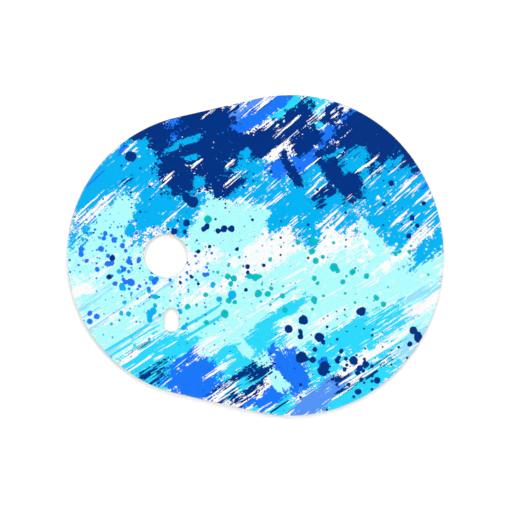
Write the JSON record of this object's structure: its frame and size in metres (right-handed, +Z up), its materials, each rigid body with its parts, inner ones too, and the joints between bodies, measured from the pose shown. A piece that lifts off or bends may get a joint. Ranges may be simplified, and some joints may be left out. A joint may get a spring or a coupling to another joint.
{
  "type": "die-cut vinyl sticker",
  "caption": "Thin rounded die-cut vinyl sticker with an all-over blue paint-splash print, a round hole and a small slot, on its release liner.",
  "frame": {"origin": "centre of the outline's bounding box, on the back of the release liner", "axes": "+X along the length, from the narrow heel (round hole and slot) to the blunt nose; +Y across, away from the slot; +Z up through the layers, out of the printed side"},
  "size_m": [0.0224, 0.019, 0.0003],
  "materials": {
    "liner_paper": "smooth bleached kraft, matte",
    "silicone_coat": "cured silicone, low sheen",
    "acrylic_adhesive": "hazy pressure-sensitive acrylic, tacky",
    "white_vinyl": "calendered white vinyl, satin",
    "printed_ink": "digital print, blue paint splashes over a pale ground",
    "clear_adhesive": "optically clear acrylic",
    "clear_overlaminate": "clear calendered vinyl, semi-gloss"
  },
  "bodies": {
    "liner": {"liner_paper": "liner_paper", "liner_release_coat": "silicone_coat"},
    "sticker": {"sticker_adhesive": "acrylic_adhesive", "face_film": "white_vinyl", "printed_ink": "printed_ink", "overlaminate_adhesive": "clear_adhesive", "overlaminate_film": "clear_overlaminate"}
  },
  "joints": [
    {"name": "sticker_peel", "type": "hinge", "parent": "liner", "child": "sticker", "pos_m": [0.0112, 0, 0.00012], "axis": [0, 1, 0], "range_deg": [0, 120]}
  ]
}
